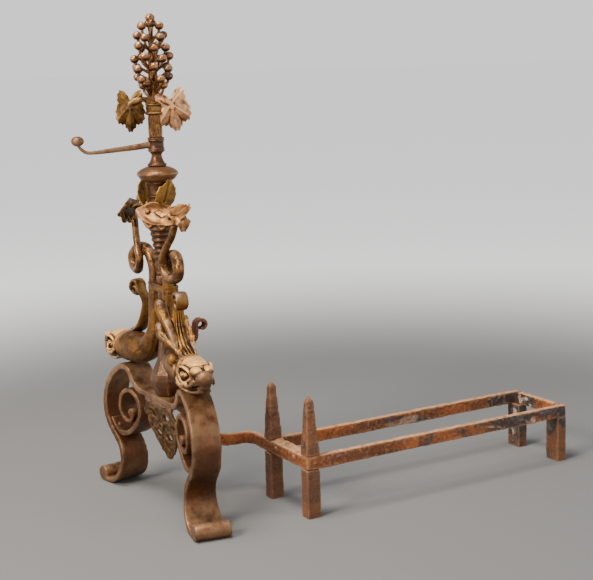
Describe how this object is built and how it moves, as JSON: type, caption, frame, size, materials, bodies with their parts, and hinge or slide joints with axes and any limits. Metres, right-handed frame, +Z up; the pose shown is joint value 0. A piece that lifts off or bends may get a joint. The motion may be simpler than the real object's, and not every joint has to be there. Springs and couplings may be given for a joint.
{
  "type": "andiron",
  "caption": "Wrought iron andiron: scroll feet, a column between two dolphins, vine leaves and grapes on top, a swivelling arm with a ball, and a low log rest behind.",
  "frame": {"origin": "centre of the bounding box at hearth level", "axes": "+X across the two feet towards the log rest's side, +Y from the scroll feet to the rear of the log rest, +Z up"},
  "size_m": [0.34, 0.677, 0.66],
  "materials": {
    "brown_iron": "warm brown patina, worn to a dull sheen",
    "gilt_remains": "worn remains of gilding over dark iron",
    "rusted_iron": "rough orange-brown rust with dark scale"
  },
  "bodies": {
    "stand": {"left_leg": "brown_iron", "right_leg": "brown_iron", "left_volute": "brown_iron", "right_volute": "brown_iron", "volute_rivets": "brown_iron", "apron": "brown_iron", "apron_rail": "brown_iron", "apron_rivets": "brown_iron", "core_rod": "brown_iron", "rod_nut": "brown_iron", "baluster": "brown_iron", "binding_collar": "gilt_remains", "ringed_cone": "brown_iron", "leaf_socket": "brown_iron", "knop_disc": "brown_iron", "swivel_neck": "brown_iron", "upper_post": "gilt_remains", "post_collar": "gilt_remains", "left_vine_leaf": "gilt_remains", "right_vine_leaf": "gilt_remains", "grape_stalk": "gilt_remains", "grape_twigs": "gilt_remains", "grapes": "gilt_remains", "left_dolphin": "gilt_remains", "right_dolphin": "gilt_remains", "left_crest": "gilt_remains", "right_crest": "gilt_remains", "left_tail": "gilt_remains", "right_tail": "gilt_remains", "left_tail_leaf": "gilt_remains", "right_tail_leaf": "gilt_remains", "left_upright_leaf": "gilt_remains", "right_upright_leaf": "gilt_remains", "rear_hook": "rusted_iron", "stem_bar": "rusted_iron", "stem_rivets": "rusted_iron", "front_bar": "rusted_iron", "near_side_bar": "rusted_iron", "far_side_bar": "rusted_iron", "rear_bar": "rusted_iron", "near_front_post": "rusted_iron", "far_front_post": "rusted_iron", "near_rear_leg": "rusted_iron", "far_rear_leg": "rusted_iron"},
    "swivel": {"swivel_sleeve": "brown_iron", "swivel_arm": "brown_iron", "arm_ball": "brown_iron"}
  },
  "joints": [
    {"name": "arm_swivel", "type": "hinge", "parent": "stand", "child": "swivel", "pos_m": [0, -0.2215, 0.4917], "axis": [0, 0, 1], "continuous": true}
  ]
}
